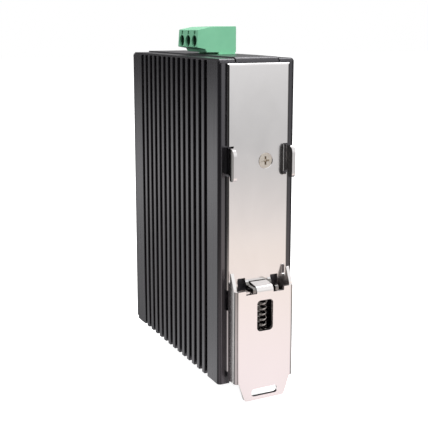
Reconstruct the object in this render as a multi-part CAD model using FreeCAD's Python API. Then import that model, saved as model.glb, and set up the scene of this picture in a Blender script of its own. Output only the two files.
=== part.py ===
import FreeCAD, Part
import math
import os

# Industrial five-port network switch in an aluminium and sheet steel casing, for a 35 mm DIN rail.
# Millimetres. +Z is up, -Y is the front with the ports, +Y is the rear with the rail bracket.
# The origin lies where the rail seats: the middle of the bracket's face, at the rail's mid height.

Vector = FreeCAD.Vector
ALONG_X = Vector(1, 0, 0)
ALONG_Y = Vector(0, 1, 0)
ALONG_Z = Vector(0, 0, 1)

# ---- casing
WIDTH = 27.0
DEPTH = 73.7
HEIGHT = 105.0
RAIL_HEIGHT = 35.0
RAIL_TOP_BELOW_CASING_TOP = 35.9
PLATE = 1.2                     # thickness of the bracket's plate
TOP = RAIL_TOP_BELOW_CASING_TOP + RAIL_HEIGHT / 2
BOTTOM = TOP - HEIGHT
RIGHT = WIDTH / 2               # the ribbed side
LEFT = -WIDTH / 2
BACK = -PLATE
FRONT = BACK - DEPTH

# ---- folded cover
SHEET = 0.7
FOLD = 1.2                      # outer radius of its folds
LIP = 1.3                       # how far the top folds down over the heat sink
RIB_MARGIN = 0.4                # the top stops this far short of the rib tips
STRIP = 7.5                     # half width of the raised strip along the top
RAISE = 0.45
SLIT = 0.4
SLIT_LENGTH = 2.3
COVER_SCREW_HEAD = 2.7
COVER_SCREW_HIGH = 1.1
COVER_SCREW_LENGTH = 6.0

# ---- heat sink side
WALL = 4.0                      # ribs included
GROOVES = 14
GROOVE_PITCH = 4.18
GROOVE_WIDTH = 2.0
GROOVE_DEPTH = 2.4
FIRST_GROOVE = 9.5              # from the rear face
BEVEL = 0.2                     # broken edges of the ribs
CORNER = 1.2
HEAT_SINK_FACE = RIGHT - WALL

# ---- front panel
PANEL = 1.2
PANEL_MARGIN = 0.15
PANEL_REAR = FRONT + PANEL
PANEL_TABS = (-30.0, 30.0)
PANEL_TAB_HALF = 5.0
PANEL_TAB_REACH = 8.0

# ---- circuit board
BOARD = 1.6
BOARD_FACE = 6.0                # the side that carries the ports
BOARD_REAR = BOARD_FACE + BOARD
BOARD_TOP = TOP - 2.5
BOARD_BOTTOM = BOTTOM + 2.0
BOARD_FRONT = PANEL_REAR + 0.8
BOARD_BACK = BACK - 1.5
PILLAR_PLACES = [(BACK - 6.5, z) for z in (BOTTOM + 5.5, TOP - 6.5)]
PILLAR_STUD = 1.5
PILLAR_RADIUS = 2.6             # to the hexagon's corners

# ---- ports
PORTS = 5
PORT_PITCH = 17.6
PORT_MIDDLE = -1.5              # height of the middle port
JACK_WIDTH = 15.9               # up the casing
JACK_HEIGHT = 13.4              # off the board
JACK_LENGTH = 15.6
JACK_FACE = FRONT + 0.1
JACK_SHEET = 0.3
JACK_GAP = 0.25                 # between the jack and the panel's opening
JACK_XS = (BOARD_FACE - JACK_HEIGHT, BOARD_FACE)
PLUG_WAY_DEEP = 12.5
PLUG_WAY_STEPS = [((-2.0, 4.9), 5.95), ((-3.7, -2.0), 3.1), ((-4.9, -3.7), 1.7)]    # x range, half width
CONTACTS = 8
CONTACT_PITCH = 1.02
CONTACT_HALF = 0.2
LIGHT_X = (-6.9, -4.3)
LIGHT_SIZE = 2.9
LIGHT_LENGTH = 4.0
LIGHT_STARTS = (-7.0, 4.1)      # from the jack's middle

# ---- what else the board carries
MAGNETICS_HALF = 6.2
MAGNETICS_BEHIND = 3.0          # behind the jack
MAGNETICS_LENGTH = 7.0
MAGNETICS_HIGH = 5.2
MAGNETICS_BEVEL = 0.6
CHIP_MIDDLE = (-38.0, 2.0)
CHIP_HALF = 7.0
CHIP_THICK = 1.2
PAD_MARGIN = 0.5
CAPACITORS = [(-12.0, 32.0), (-12.0, 21.0)]
CAPACITOR_RADIUS = 4.0
CAPACITOR_LENGTH = 11.5
COIL_Y = (-29.0, -21.5)
COIL_Z = (24.0, 31.5)
COIL_HIGH = 3.8
COIL_BEVEL = 1.2
COIL_WELL = 2.9                 # radius
CRYSTAL_Y = (-30.0, -26.0)
CRYSTAL_Z = (-22.0, -11.0)
CRYSTAL_HIGH = 3.4
REGULATOR_Y = (-18.5, -13.5)
REGULATOR_Z = (2.0, 8.0)
REGULATOR_HIGH = 1.8
LEG_PITCH = 1.27
LEG_HALF = 0.2
POWER_LIGHT = (2.0, TOP - 9.0)
POWER_LIGHT_RADIUS = 1.5
POWER_LIGHT_LENGTH = 6.8
POWER_LIGHT_PROUD = 0.3

# ---- power plug and its header
POLES = 3
POLE_PITCH = 5.08
PLUG_REAR = BACK - 26.0
PLUG_LENGTH = 15.6
PLUG_FRONT = PLUG_REAR - PLUG_LENGTH
PLUG_MIDDLE = (PLUG_REAR + PLUG_FRONT) / 2
POLE_YS = [PLUG_MIDDLE + (pole - 1) * POLE_PITCH for pole in range(POLES)]
WIRE_HOLE = 2.0                 # radius
WIRE_HEIGHT = TOP + 4.75
TEST_HOLE = 0.6                 # half the side of the small square holes above the wires
TEST_HEIGHT = TOP + 7.6
CAGE_X = (-1.6, 3.0)
CAGE_Z = (TOP + 2.4, TOP + 7.1)
CAGE_HALF = 2.0
SPIGOT_X = (-5.5, 0.7)          # the part of the plug that enters the header
SPIGOT_DEEP = 6.5
PIN_X = -2.4
PIN = 1.0
FORK = 1.1                      # half the contact's width
CLAMP_X = 0.7
CLAMP_SHANK = 1.2
CLAMP_HEAD = 1.8
CAGE_SHEET = 0.6
HEADER_WALL = 0.7
HEADER_GAP = 0.15               # round the plug
HEADER_FLOOR = TOP - 9.5
PIN_TAIL_Z = (HEADER_FLOOR + 1.2, HEADER_FLOOR + 1.2 + PIN)
OPENING_MARGIN = 1.1            # from the plug to the cover's opening
OPENING_X = (SPIGOT_X[0] - OPENING_MARGIN, SPIGOT_X[1] + OPENING_MARGIN)
OPENING_Y = (PLUG_FRONT - OPENING_MARGIN, PLUG_REAR + OPENING_MARGIN)

# ---- rail bracket
BRACKET_HALF = 11.0
BRACKET_EDGE = 0.75             # radius of the plate's pressed edges
PLATE_TOP = TOP - 1.4
PLATE_BOTTOM = -47.0
HOOK_OUT = 4.15
HOOK_IN = 1.45
HOOK_TOP = 26.1
HOOK_SEAT = RAIL_HEIGHT / 2
HOOK_RISE = 0.9                 # the seat climbs this much toward the finger
HOOK_TIP = 15.9
HOOK_BEND = 1.0                 # inner radius
HOOK_RELIEF = 0.4
BRACKET_SCREW = (-2.5, 21.3)
BRACKET_SCREW_LENGTH = 3.6
SCREW = 1.5                     # thread radius
SCREW_HEAD = 2.55
HEAD_DEEP = 1.15
NUT = 3.1                       # to the corners of the nut's hexagon
NUT_HIGH = 2.4
FOOT_TAB_HALF = 4.0             # tab at the plate's foot that enters a slot in the cover
FOOT_TAB_REACH = 2.4
FOOT_TAB_Z = (PLATE_BOTTOM + 0.8, PLATE_BOTTOM + 0.8 + PLATE)
NOTCH_Z = (-26.4, -19.7)
NOTCH_DEEP = 1.4

# ---- latch
LATCH_HALF = 10.65
LATCH_SHEET = 1.1
LATCH_OUT = 5.2                 # its rear face
LATCH_FOLD = 1.4
LATCH_CLEAR = 0.12              # between the flanges and the plate
LATCH_TOP = -19.1
FLANGE_BOTTOM = -49.8
TONGUE_BOTTOM = -56.1
TONGUE_HALF = 7.15
EAR_SEAT = -17.0
EAR_TIP = -13.8
LUG_X = (3.5, 4.6)
LUG_Z = (-20.1, -18.4)
LUG_OUT = 5.6
LUG_HOLE_X = (4.6, 7.3)
LUG_HOLE_Z = (-20.4, -16.3)
LATCH_NOTCH_X = (3.0, 6.9)
LATCH_NOTCH_BOTTOM = -20.4
LIP_HALF = 3.0
LIP_END = 0.5
LIP_HIGH = -17.7                # at the plate
LIP_LOW = -18.35                # where it turns down
LIP_FOLD = 1.9
FOOT_X = 8.4
FOOT_Z = (-41.0, -23.0)
GUIDE_X = (6.6, 7.7)
GUIDE_REACH = 9.3
GUIDE_Z = (-34.0, -22.0)
SPRING_TAB_TOP = -38.4
SPRING_RADIUS = 1.7             # to the middle of the wire
SPRING_WIRE = 0.28              # half the wire's thickness
SPRING_X = -0.4
SPRING_Y = 2.08
SPRING_TURNS = 11
SPRING_RUNS = 8                 # straight runs in a turn


# ---- shaping helpers

def block(xs, ys, zs):
    """Box between pairs of coordinates."""
    return Part.makeBox(xs[1] - xs[0], ys[1] - ys[0], zs[1] - zs[0], Vector(xs[0], ys[0], zs[0]))


def rod(start, axis, radius, length):
    """Cylinder from a point along an axis."""
    return Part.makeCylinder(radius, length, Vector(*start), axis)


def on_xy(a, b, level):
    return Vector(a, b, level)


def on_xz(a, b, level):
    return Vector(a, level, b)


def on_yz(a, b, level):
    return Vector(level, a, b)


NORMAL = {on_xy: ALONG_Z, on_xz: ALONG_Y, on_yz: ALONG_X}


def corner(before, here, after, radius):
    """Start, middle and end of the arc that rounds a corner."""
    toward = (before - here).normalize()
    away = (after - here).normalize()
    half = toward.getAngle(away) / 2
    middle_way = (toward + away).normalize()
    centre = here + middle_way * (radius / math.sin(half))
    cut = radius / math.tan(half)
    return here + toward * cut, centre - middle_way * radius, here + away * cut


def face(points, place, level):
    """Flat face whose corners are (a, b) or, where rounded, (a, b, radius)."""
    count = len(points)
    flat = [Vector(point[0], point[1], 0) for point in points]
    stops = []
    for index, point in enumerate(points):
        if len(point) == 3:
            stops.append(corner(flat[index - 1], flat[index], flat[(index + 1) % count], point[2]))
        else:
            stops.append((flat[index],))
    edges = []
    for index, stop in enumerate(stops):
        spots = [place(spot.x, spot.y, level) for spot in stop]
        if len(spots) == 3:
            edges.append(Part.Arc(*spots).toShape())
        following = stops[(index + 1) % count][0]
        start = spots[-1]
        end = place(following.x, following.y, level)
        if (end - start).Length > 1e-6:
            edges.append(Part.LineSegment(start, end).toShape())
    return Part.Face(Part.Wire(edges))


def prism(points, place, levels):
    """The outline carried from one level to another, square to its plane."""
    return face(points, place, levels[0]).extrude(NORMAL[place] * (levels[1] - levels[0]))


def plate_outline(xs, zs, radius):
    """Rectangle with four rounded corners."""
    return [(x, z, radius) for x, z in ((xs[0], zs[0]), (xs[1], zs[0]), (xs[1], zs[1]), (xs[0], zs[1]))]


def hexagon(a, b, radius):
    """Corners of a hexagon about a point."""
    turns = [math.radians(60 * corner_number) for corner_number in range(6)]
    return [(a + radius * math.cos(turn), b + radius * math.sin(turn)) for turn in turns]


def mirrored(shape):
    """The shape's twin on the other side of the middle plane."""
    return shape.mirror(Vector(0, 0, 0), ALONG_X)


def both_sides(shape):
    return [shape, mirrored(shape)]


def fillet(shape, radius, chosen):
    """Rounds the edges whose middle point passes the test."""
    edges = [edge for edge in shape.Edges if chosen(edge.CenterOfMass)]
    return shape.makeFillet(radius, edges)


def near(value, target):
    return abs(value - target) < 0.01


# ---- casing

def heat_sink_side():
    """Extruded aluminium wall with upright ribs on the outside."""
    outline = [(HEAT_SINK_FACE, BACK), (RIGHT, BACK, CORNER)]
    for groove in range(GROOVES):
        middle = BACK - FIRST_GROOVE - groove * GROOVE_PITCH
        rear = middle + GROOVE_WIDTH / 2
        front = middle - GROOVE_WIDTH / 2
        floor = RIGHT - GROOVE_DEPTH
        outline += [(RIGHT, rear + BEVEL), (RIGHT - BEVEL, rear), (floor, rear)]
        outline += [(floor, front), (RIGHT - BEVEL, front), (RIGHT, front - BEVEL)]
    outline += [(RIGHT, PANEL_REAR, 0.5), (HEAT_SINK_FACE, PANEL_REAR)]
    wall = prism(outline, on_xy, (BOTTOM, TOP - SHEET))
    room = 0.05
    lip_seat = [
        (BACK - SHEET - room, TOP + 1),
        (BACK - SHEET - room, TOP - LIP - room),
        (BACK + 1, TOP - LIP - room),
        (BACK + 1, TOP + 1),
    ]
    wall = wall.cut(prism(lip_seat, on_yz, (HEAT_SINK_FACE - 1, RIGHT - RIB_MARGIN + room)))
    for y, z in PILLAR_PLACES:
        wall = wall.cut(rod((HEAT_SINK_FACE, y, z), ALONG_X, PILLAR_STUD, 2.6))
    return wall


def folded_section(rise, inner_end):
    """Section of the top sheet where it folds down at the rear."""
    top = TOP + rise
    return [
        (PANEL_REAR, top - SHEET),
        (BACK - SHEET, top - SHEET),
        (BACK - SHEET, inner_end),
        (BACK, inner_end),
        (BACK, top, FOLD + rise),
        (PANEL_REAR, top),
    ]


def on_fold(point, left, back, top, bottom):
    """True for the casing's folded edges at the left and the rear."""
    level = near(point.z, top) or near(point.z, bottom)
    return (near(point.x, left) and near(point.y, back)) or (level and (near(point.x, left) or near(point.y, back)))


def housing_shell():
    """Folded steel cover: top, rear, bottom and plain side in one sheet."""
    outer = block((LEFT, HEAT_SINK_FACE), (PANEL_REAR, BACK), (BOTTOM, TOP))
    outer = fillet(outer, FOLD, lambda point: on_fold(point, LEFT, BACK, TOP, BOTTOM))
    hollow = block((LEFT + SHEET, RIGHT), (FRONT - 1, BACK - SHEET), (BOTTOM + SHEET, TOP - SHEET))
    cover = outer.cut(hollow)
    cover = cover.fuse(prism(folded_section(0, TOP - LIP), on_yz, (HEAT_SINK_FACE, RIGHT - RIB_MARGIN)))
    strip = prism(folded_section(RAISE, TOP - 2 * LIP), on_yz, (-STRIP, STRIP))
    under_strip = block(
        (-STRIP + SHEET / 2, STRIP - SHEET / 2),
        (FRONT, BACK - FOLD),
        (TOP - SHEET - 1, TOP + RAISE - SHEET),
    )
    cover = cover.fuse(strip).cut(under_strip)
    for side in (-1, 1):
        middle = side * (STRIP + SLIT / 2)
        cover = cover.cut(
            block(
                (middle - SLIT / 2, middle + SLIT / 2),
                (BACK - SLIT_LENGTH, BACK + 1),
                (TOP - FOLD, TOP + 1),
            )
        )
    cover = cover.cut(block(OPENING_X, OPENING_Y, (TOP - 2, TOP + 2)))
    x, z = BRACKET_SCREW
    cover = cover.cut(rod((x, BACK - 2, z), ALONG_Y, SCREW + 0.1, 4))
    room = 0.1
    slot_x = (-FOOT_TAB_HALF - room, FOOT_TAB_HALF + room)
    cover = cover.cut(block(slot_x, (BACK - 2, BACK + 1), (FOOT_TAB_Z[0] - room, FOOT_TAB_Z[1] + room)))
    for y, z in PILLAR_PLACES:
        cover = cover.cut(rod((LEFT - 1, y, z), ALONG_X, SCREW + 0.1, 3))
    return cover.removeSplitter()


# ---- front panel and ports

def port_height(port):
    return PORT_MIDDLE + (port - (PORTS - 1) / 2) * PORT_PITCH


def front_panel():
    """Flat steel panel with the port openings and two tabs that hold the cover's plain side."""
    xs = (LEFT + PANEL_MARGIN, RIGHT - PANEL_MARGIN)
    zs = (BOTTOM + PANEL_MARGIN, TOP - PANEL_MARGIN)
    panel = prism(plate_outline(xs, zs, CORNER), on_xz, (FRONT, PANEL_REAR))
    opening_x = (JACK_XS[0] - JACK_GAP, JACK_XS[1] + JACK_GAP)
    for port in range(PORTS):
        half = JACK_WIDTH / 2 + JACK_GAP
        opening_z = (port_height(port) - half, port_height(port) + half)
        panel = panel.cut(block(opening_x, (FRONT - 1, PANEL_REAR + 1), opening_z))
    light_x, light_z = POWER_LIGHT
    panel = panel.cut(rod((light_x, FRONT - 1, light_z), ALONG_Y, POWER_LIGHT_RADIUS, 4))
    tab_x = (LEFT + SHEET, LEFT + SHEET + PANEL)
    tab_y = (FRONT + PANEL / 2, PANEL_REAR + PANEL_TAB_REACH)
    for middle in PANEL_TABS:
        panel = panel.fuse(block(tab_x, tab_y, (middle - PANEL_TAB_HALF, middle + PANEL_TAB_HALF)))
    return panel.removeSplitter()


def cover_screws():
    """Low round-headed screws through the cover's plain side into the pillars."""
    screws = []
    for y, z in PILLAR_PLACES:
        head = rod((LEFT - COVER_SCREW_HIGH, y, z), ALONG_X, COVER_SCREW_HEAD, COVER_SCREW_HIGH)
        screws.append(head.fuse(rod((LEFT, y, z), ALONG_X, SCREW, COVER_SCREW_LENGTH)))
    return screws


# ---- board and what it carries

def pillar(y, z):
    """Hexagonal pillar from the cover to the board, with a stud into the heat sink."""
    start = LEFT + SHEET
    body = prism(hexagon(y, z, PILLAR_RADIUS), on_yz, (start, BOARD_FACE))
    body = body.fuse(rod((BOARD_FACE, y, z), ALONG_X, PILLAR_STUD, HEAT_SINK_FACE + 2.5 - BOARD_FACE))
    return body.cut(rod((start, y, z), ALONG_X, SCREW, COVER_SCREW_LENGTH + 1)).removeSplitter()


def board_spacers():
    """Short six-sided spacers that hold the board off the heat sink."""
    spacers = []
    for y, z in PILLAR_PLACES:
        spacer = prism(hexagon(y, z, PILLAR_RADIUS + 0.4), on_yz, (BOARD_REAR, HEAT_SINK_FACE))
        spacers.append(spacer.cut(rod((BOARD_REAR, y, z), ALONG_X, PILLAR_STUD, 3)))
    return spacers


def circuit_board():
    board = block((BOARD_FACE, BOARD_REAR), (BOARD_FRONT, BOARD_BACK), (BOARD_BOTTOM, BOARD_TOP))
    for y, z in PILLAR_PLACES:
        board = board.cut(rod((BOARD_FACE - 1, y, z), ALONG_X, PILLAR_STUD, 4))
    for y in POLE_YS:
        board = board.cut(block((BOARD_FACE - 1, BOARD_REAR + 1), pin_span(y), PIN_TAIL_Z))
    return board


def plug_way(middle):
    """Stepped opening that takes a network plug and its catch."""
    deep = (JACK_FACE - 1, JACK_FACE + PLUG_WAY_DEEP)
    way = None
    for xs, half in PLUG_WAY_STEPS:
        step = block(xs, deep, (middle - half, middle + half))
        way = step if way is None else way.fuse(step)
    return way.removeSplitter()


def port_lights(middle):
    """Two small rectangular light pipes beside the catch opening."""
    ys = (JACK_FACE, JACK_FACE + LIGHT_LENGTH)
    return [block(LIGHT_X, ys, (middle + start, middle + start + LIGHT_SIZE)) for start in LIGHT_STARTS]


def jack_outline(middle, inset):
    half = JACK_WIDTH / 2 - inset
    return (JACK_XS[0] + inset, JACK_XS[1] - inset), (middle - half, middle + half)


def port_shield(middle):
    """Tinned sheet can around the jack."""
    xs, zs = jack_outline(middle, 0)
    can = block(xs, (JACK_FACE, JACK_FACE + JACK_LENGTH), zs)
    xs, zs = jack_outline(middle, JACK_SHEET)
    can = can.cut(block(xs, (JACK_FACE + JACK_SHEET, JACK_FACE + JACK_LENGTH - JACK_SHEET), zs))
    can = can.cut(plug_way(middle))
    for window in port_lights(middle):
        can = can.cut(window)
    return can


def port_core(middle):
    """Moulded insert with the stepped opening."""
    xs, zs = jack_outline(middle, JACK_SHEET)
    core = block(xs, (JACK_FACE + JACK_SHEET, JACK_FACE + JACK_LENGTH - JACK_SHEET), zs)
    core = core.cut(plug_way(middle))
    for window in port_lights(middle):
        core = core.cut(window)
    return core


def port_contacts(middle):
    """Eight spring contacts that slope back from the mouth."""
    floor = PLUG_WAY_STEPS[0][0][1]
    mouth = JACK_FACE + JACK_LENGTH / 5
    rear = JACK_FACE + PLUG_WAY_DEEP
    reach = floor - 1.8
    sheet = 2 * CONTACT_HALF
    sloping = [(floor, mouth), (floor, mouth + 2 * sheet), (reach, rear), (reach - sheet, rear)]
    contacts = []
    for contact in range(CONTACTS):
        z = middle + (contact - (CONTACTS - 1) / 2) * CONTACT_PITCH
        contacts.append(prism(sloping, on_xy, (z - CONTACT_HALF, z + CONTACT_HALF)))
    return contacts


def magnetics(middle):
    """Isolating transformer block behind a jack, with bevelled long edges."""
    front = JACK_FACE + JACK_LENGTH + MAGNETICS_BEHIND
    rear = front + MAGNETICS_LENGTH
    high = BOARD_FACE - MAGNETICS_HIGH
    section = [
        (BOARD_FACE, front),
        (high + MAGNETICS_BEVEL, front),
        (high, front + MAGNETICS_BEVEL),
        (high, rear - MAGNETICS_BEVEL),
        (high + MAGNETICS_BEVEL, rear),
        (BOARD_FACE, rear),
    ]
    return prism(section, on_xy, (middle - MAGNETICS_HALF, middle + MAGNETICS_HALF))


def switch_chip():
    """Flat square chip, without legs, on the heat sink's side of the board."""
    y, z = CHIP_MIDDLE
    xs = (BOARD_REAR, BOARD_REAR + CHIP_THICK)
    return block(xs, (y - CHIP_HALF, y + CHIP_HALF), (z - CHIP_HALF, z + CHIP_HALF))


def thermal_pad():
    """Soft pad that carries the chip's heat to the ribbed wall."""
    y, z = CHIP_MIDDLE
    half = CHIP_HALF - PAD_MARGIN
    return block((BOARD_REAR + CHIP_THICK, HEAT_SINK_FACE), (y - half, y + half), (z - half, z + half))


def capacitor(y, z):
    """Round aluminium capacitor, standing off the board."""
    return rod((BOARD_FACE - CAPACITOR_LENGTH, y, z), ALONG_X, CAPACITOR_RADIUS, CAPACITOR_LENGTH)


def inductor():
    """Shielded coil in a square core with bevelled corners and a round well."""
    y0, y1 = COIL_Y
    z0, z1 = COIL_Z
    outline = [(y0, z0 + COIL_BEVEL), (y0 + COIL_BEVEL, z0), (y1 - COIL_BEVEL, z0), (y1, z0 + COIL_BEVEL)]
    outline += [(y1, z1 - COIL_BEVEL), (y1 - COIL_BEVEL, z1), (y0 + COIL_BEVEL, z1), (y0, z1 - COIL_BEVEL)]
    high = BOARD_FACE - COIL_HIGH
    core = prism(outline, on_yz, (high, BOARD_FACE))
    return core.cut(rod((high, (y0 + y1) / 2, (z0 + z1) / 2), ALONG_X, COIL_WELL, 0.5))


def crystal():
    """Low oval metal can."""
    radius = 0.95 * (CRYSTAL_Y[1] - CRYSTAL_Y[0]) / 2
    outline = plate_outline(CRYSTAL_Y, CRYSTAL_Z, radius)
    return prism(outline, on_yz, (BOARD_FACE - CRYSTAL_HIGH, BOARD_FACE))


def regulator():
    """Small flat power chip with four legs a side."""
    chip = block((BOARD_FACE - REGULATOR_HIGH, BOARD_FACE - 0.1), REGULATOR_Y, REGULATOR_Z)
    leg_y = (REGULATOR_Y[0] - 1, REGULATOR_Y[1] + 1)
    for leg in range(4):
        z = sum(REGULATOR_Z) / 2 + (leg - 1.5) * LEG_PITCH
        chip = chip.fuse(block((BOARD_FACE - 2 * LEG_HALF, BOARD_FACE), leg_y, (z - LEG_HALF, z + LEG_HALF)))
    return chip


def power_light():
    """Clear light pipe from the board to the front panel."""
    x, z = POWER_LIGHT
    radius = POWER_LIGHT_RADIUS
    tip = FRONT - POWER_LIGHT_PROUD
    pipe = rod((x, tip, z), ALONG_Y, radius, POWER_LIGHT_LENGTH)
    rear = tip + POWER_LIGHT_LENGTH
    foot = block((x - radius, BOARD_FACE), (rear - 2 * radius, rear + 1), (z - radius, z + radius))
    return pipe.fuse(foot).removeSplitter()


# ---- power header and plug

def pin_span(y):
    return (y - PIN / 2, y + PIN / 2)


def header_pins():
    """Square pins that turn from the board up into the plug."""
    pins = []
    for y in POLE_YS:
        tail = block((PIN_X - PIN / 2, BOARD_REAR + 0.3), pin_span(y), PIN_TAIL_Z)
        post = block((PIN_X - PIN / 2, PIN_X + PIN / 2), pin_span(y), (PIN_TAIL_Z[0], TOP - 1.2))
        pins.append(tail.fuse(post).removeSplitter())
    return pins


def terminal_header():
    """Open-topped moulding on the board that the power plug slides into."""
    floor = TOP - SPIGOT_DEEP - HEADER_GAP
    inner_x = (SPIGOT_X[0] - HEADER_GAP, SPIGOT_X[1] + HEADER_GAP)
    inner_y = (PLUG_FRONT - HEADER_GAP, PLUG_REAR + HEADER_GAP)
    outer_x = (inner_x[0] - HEADER_WALL, inner_x[1] + HEADER_WALL)
    outer_y = (inner_y[0] - HEADER_WALL, inner_y[1] + HEADER_WALL)
    body = block(outer_x, outer_y, (HEADER_FLOOR, TOP + RAISE))
    body = body.fuse(block((outer_x[0], BOARD_FACE), outer_y, (HEADER_FLOOR, floor)))
    body = body.cut(block(inner_x, inner_y, (floor, TOP + 2)))
    for pin in header_pins():
        body = body.cut(pin)
    return body.removeSplitter()


def plug_housing():
    """Angled three-pole screw terminal plug: wires enter level, the plug pulls out upwards."""
    shoulder = TOP + 1.1
    side = [
        (8.75, TOP + 2.75, 0.3),
        (8.3, TOP + 8.55, 0.3),
        (3.5, TOP + 9.45, 1.5),
        (-5.8, TOP + 9.7, 0.4),
        (-5.8, shoulder),
        (SPIGOT_X[0], shoulder),
        (SPIGOT_X[0], TOP - SPIGOT_DEEP),
        (SPIGOT_X[1], TOP - SPIGOT_DEEP),
        (SPIGOT_X[1], shoulder),
        (5.1, shoulder, 0.3),
        (5.8, TOP + 2.25, 0.3),
    ]
    body = prism(side, on_xz, (PLUG_FRONT, PLUG_REAR))
    contact_x = (PIN_X - FORK, PIN_X + FORK)
    for y in POLE_YS:
        test_y = (y - TEST_HOLE, y + TEST_HOLE)
        test_z = (TEST_HEIGHT - TEST_HOLE, TEST_HEIGHT + TEST_HOLE)
        body = body.cut(rod((CAGE_X[0], y, WIRE_HEIGHT), ALONG_X, WIRE_HOLE, 12))
        body = body.cut(block(CAGE_X, (y - CAGE_HALF, y + CAGE_HALF), CAGE_Z))
        body = body.cut(rod((CLAMP_X, y, CAGE_Z[1]), ALONG_Z, CLAMP_HEAD + 0.15, 5))
        body = body.cut(block((6.8, 10), test_y, test_z))
        body = body.cut(block(contact_x, (y - 1.3, y + 1.3), (TOP - SPIGOT_DEEP, CAGE_Z[0])))
    return body.removeSplitter()


def plug_cages():
    """Rising clamp cages, one for each wire."""
    inner_z = (CAGE_Z[0] + CAGE_SHEET, CAGE_Z[1] - 2 * CAGE_SHEET)
    half = CAGE_HALF - CAGE_SHEET
    cages = []
    for y in POLE_YS:
        cage = block(CAGE_X, (y - CAGE_HALF, y + CAGE_HALF), CAGE_Z)
        cage = cage.cut(block((CAGE_X[0] - 1, CAGE_X[1] + 1), (y - half, y + half), inner_z))
        screw_way = prism(hexagon(CLAMP_X, y, CLAMP_SHANK), on_xy, (CAGE_Z[1] - 2, CAGE_Z[1] + 1))
        cages.append(cage.cut(screw_way))
    return cages


def plug_screws():
    """Clamp screws, reached from the top of the plug."""
    screws = []
    for y in POLE_YS:
        head = rod((CLAMP_X, y, CAGE_Z[1]), ALONG_Z, CLAMP_HEAD, 1.5)
        shank = prism(hexagon(CLAMP_X, y, CLAMP_SHANK), on_xy, (CAGE_Z[1] - 1.6, CAGE_Z[1]))
        screws.append(head.fuse(shank))
    return screws


def plug_contacts():
    """Forked contacts that grip the header's pins below the cages."""
    forks = []
    for y in POLE_YS:
        xs = (PIN_X - FORK + 0.2, PIN_X + FORK - 0.2)
        fork = block(xs, (y - FORK, y + FORK), (TOP - SPIGOT_DEEP + 0.4, CAGE_Z[0]))
        way = block((PIN_X - FORK, PIN_X + FORK), pin_span(y), (TOP - SPIGOT_DEEP, TOP - 0.6))
        forks.append(fork.cut(way))
    return forks


# ---- rail bracket

def hook():
    """Upper hook, bent back from the plate's edge, with its finger pointing down."""
    side = [
        (-PLATE - 1, HOOK_TOP),
        (-PLATE - 1, HOOK_SEAT),
        (0, HOOK_SEAT),
        (HOOK_IN, HOOK_SEAT + HOOK_RISE, 0.6),
        (HOOK_IN, HOOK_TIP, 0.7),
        (HOOK_OUT, HOOK_TIP, 1.3),
        (HOOK_OUT, HOOK_TOP, 2.2),
    ]
    inner = BRACKET_HALF - PLATE
    bend = [
        (inner - HOOK_BEND, -PLATE),
        (BRACKET_HALF, -PLATE, HOOK_BEND + PLATE),
        (BRACKET_HALF, HOOK_OUT + 1),
        (inner, HOOK_OUT + 1),
        (inner, 0, HOOK_BEND),
        (inner - HOOK_BEND, 0),
    ]
    blank = prism(side, on_yz, (inner - HOOK_BEND, BRACKET_HALF))
    return blank.common(prism(bend, on_xy, (HOOK_TIP - 1, HOOK_TOP + 1)))


def hook_gap():
    """What the plate's edge leaves free for the hook's bend, with a small relief at both ends."""
    xs = (BRACKET_HALF - PLATE - HOOK_BEND, BRACKET_HALF + 1)
    return block(xs, (-PLATE - 1, 1), (HOOK_SEAT - HOOK_RELIEF, HOOK_TOP + HOOK_RELIEF))


def guide():
    """Lanced ledge that keeps the latch's foot against the plate, and the hole that it leaves."""
    ledge = [
        (GUIDE_X[0], -PLATE / 2),
        (GUIDE_X[1], -PLATE / 2),
        (GUIDE_X[1], 1.4),
        (GUIDE_REACH, 1.4),
        (GUIDE_REACH, 2.5),
        (GUIDE_X[0], 2.5),
    ]
    hole = block((GUIDE_X[0] - 4, GUIDE_X[0]), (-PLATE - 1, 1), GUIDE_Z)
    return prism(ledge, on_xy, GUIDE_Z), hole


def lug():
    """Lanced lug, bent out through the latch's notch to guide it, and the hole that it leaves."""
    low, high = LUG_Z
    side = [
        (-PLATE / 2, low - 0.3),
        (0, low - 0.3),
        (0.6, low),
        (LUG_OUT - 0.3, low),
        (LUG_OUT, low + 0.3),
        (LUG_OUT, high, 0.7),
        (1.0, high),
        (0, LUG_HOLE_Z[1] - 0.8),
        (-PLATE / 2, LUG_HOLE_Z[1] - 0.8),
    ]
    hole = block(LUG_HOLE_X, (-PLATE - 1, 1), LUG_HOLE_Z)
    return prism(side, on_yz, LUG_X), hole


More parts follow.
